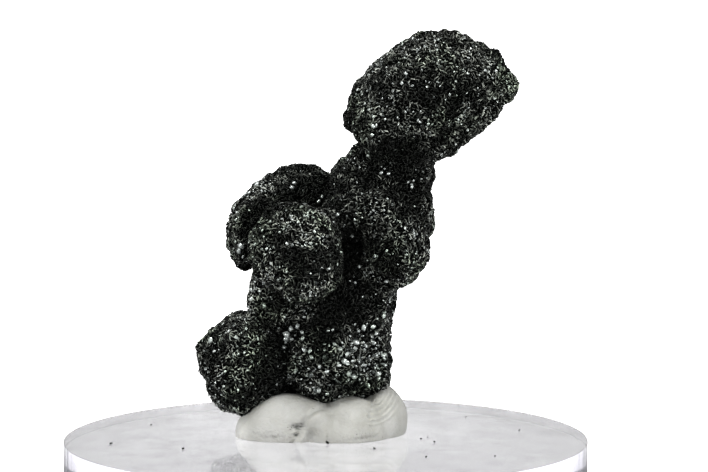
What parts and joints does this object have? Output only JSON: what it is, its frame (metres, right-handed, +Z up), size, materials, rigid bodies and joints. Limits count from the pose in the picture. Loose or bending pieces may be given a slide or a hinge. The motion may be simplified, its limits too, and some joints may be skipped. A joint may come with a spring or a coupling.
{
  "type": "clinochlore pseudomorph after quartz",
  "caption": "Knobbly black-green crystal-crusted mineral specimen leaning up to one side, stuck with white putty on a clear round acrylic display disc.",
  "frame": {"origin": "centre of the disc's underside", "axes": "+Z up through the disc, the display side faces -Y, and the head of the specimen leans towards +X"},
  "size_m": [0.0508, 0.0508, 0.0459],
  "materials": {
    "clinochlore": "crust of tiny glossy plates",
    "putty": "matte, hand-pressed",
    "acrylic": "clear, polished faces and a cut edge"
  },
  "bodies": {
    "root": {"clinochlore_cluster": "clinochlore", "putty": "putty", "acrylic_disc": "acrylic"}
  },
  "joints": []
}
